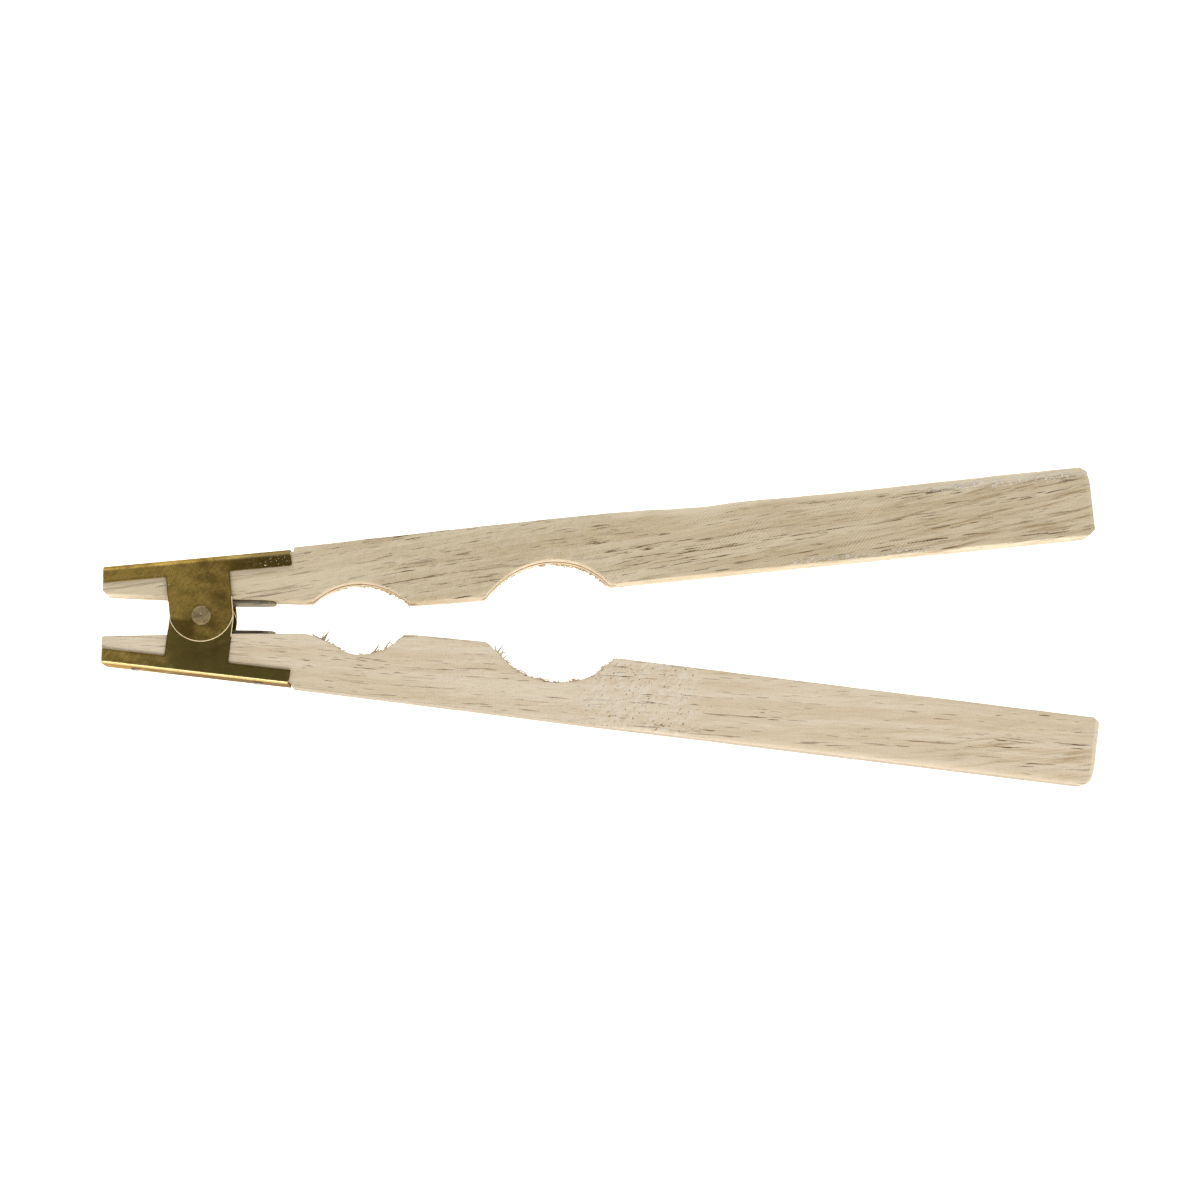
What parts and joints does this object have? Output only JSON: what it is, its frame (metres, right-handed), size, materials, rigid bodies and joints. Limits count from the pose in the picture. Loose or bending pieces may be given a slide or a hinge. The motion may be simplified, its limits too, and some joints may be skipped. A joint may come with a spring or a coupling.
{
  "type": "hinged holding tongs",
  "caption": "Hand-held wooden tongs with facing round notches, brass hinge brackets, a rivet and a strip spring that opens them.",
  "frame": {"origin": "middle of the bottom of the whole object's box, as it lies on its rear face with the rivet upright", "axes": "+X from the jaws to the handle ends, +Y towards the upper arm, +Z along the rivet towards the front face"},
  "size_m": [0.2489, 0.0795, 0.0194],
  "materials": {
    "upper_wood": "raw sawn pale hardwood with dark pores, slightly greyer arm",
    "lower_wood": "raw sawn pale hardwood with dark pores, creamier arm",
    "bracket_brass": "aged sheet brass, olive brown patina, bright on the bends and cut edges",
    "rivet_metal": "dull grey brown worn rivet",
    "spring_steel": "dark tempered strip, semi-gloss",
    "nail_steel": "plain dull wire nail"
  },
  "bodies": {
    "lower_half": {"lower_arm": "lower_wood", "lower_bracket": "bracket_brass", "rivet": "rivet_metal", "spring": "spring_steel", "lower_jaw_nail": "nail_steel", "lower_handle_nail": "nail_steel"},
    "upper_half": {"upper_arm": "upper_wood", "upper_bracket": "bracket_brass", "upper_jaw_nail": "nail_steel", "upper_handle_nail": "nail_steel"}
  },
  "joints": [
    {"name": "arm_hinge", "type": "hinge", "parent": "lower_half", "child": "upper_half", "pos_m": [-0.09965, 0, 0.0097], "axis": [0, 0, 1], "range_deg": [-8.4, 24], "stiffness_Nm_per_rad": 2.5, "deforming": ["spring"]}
  ]
}
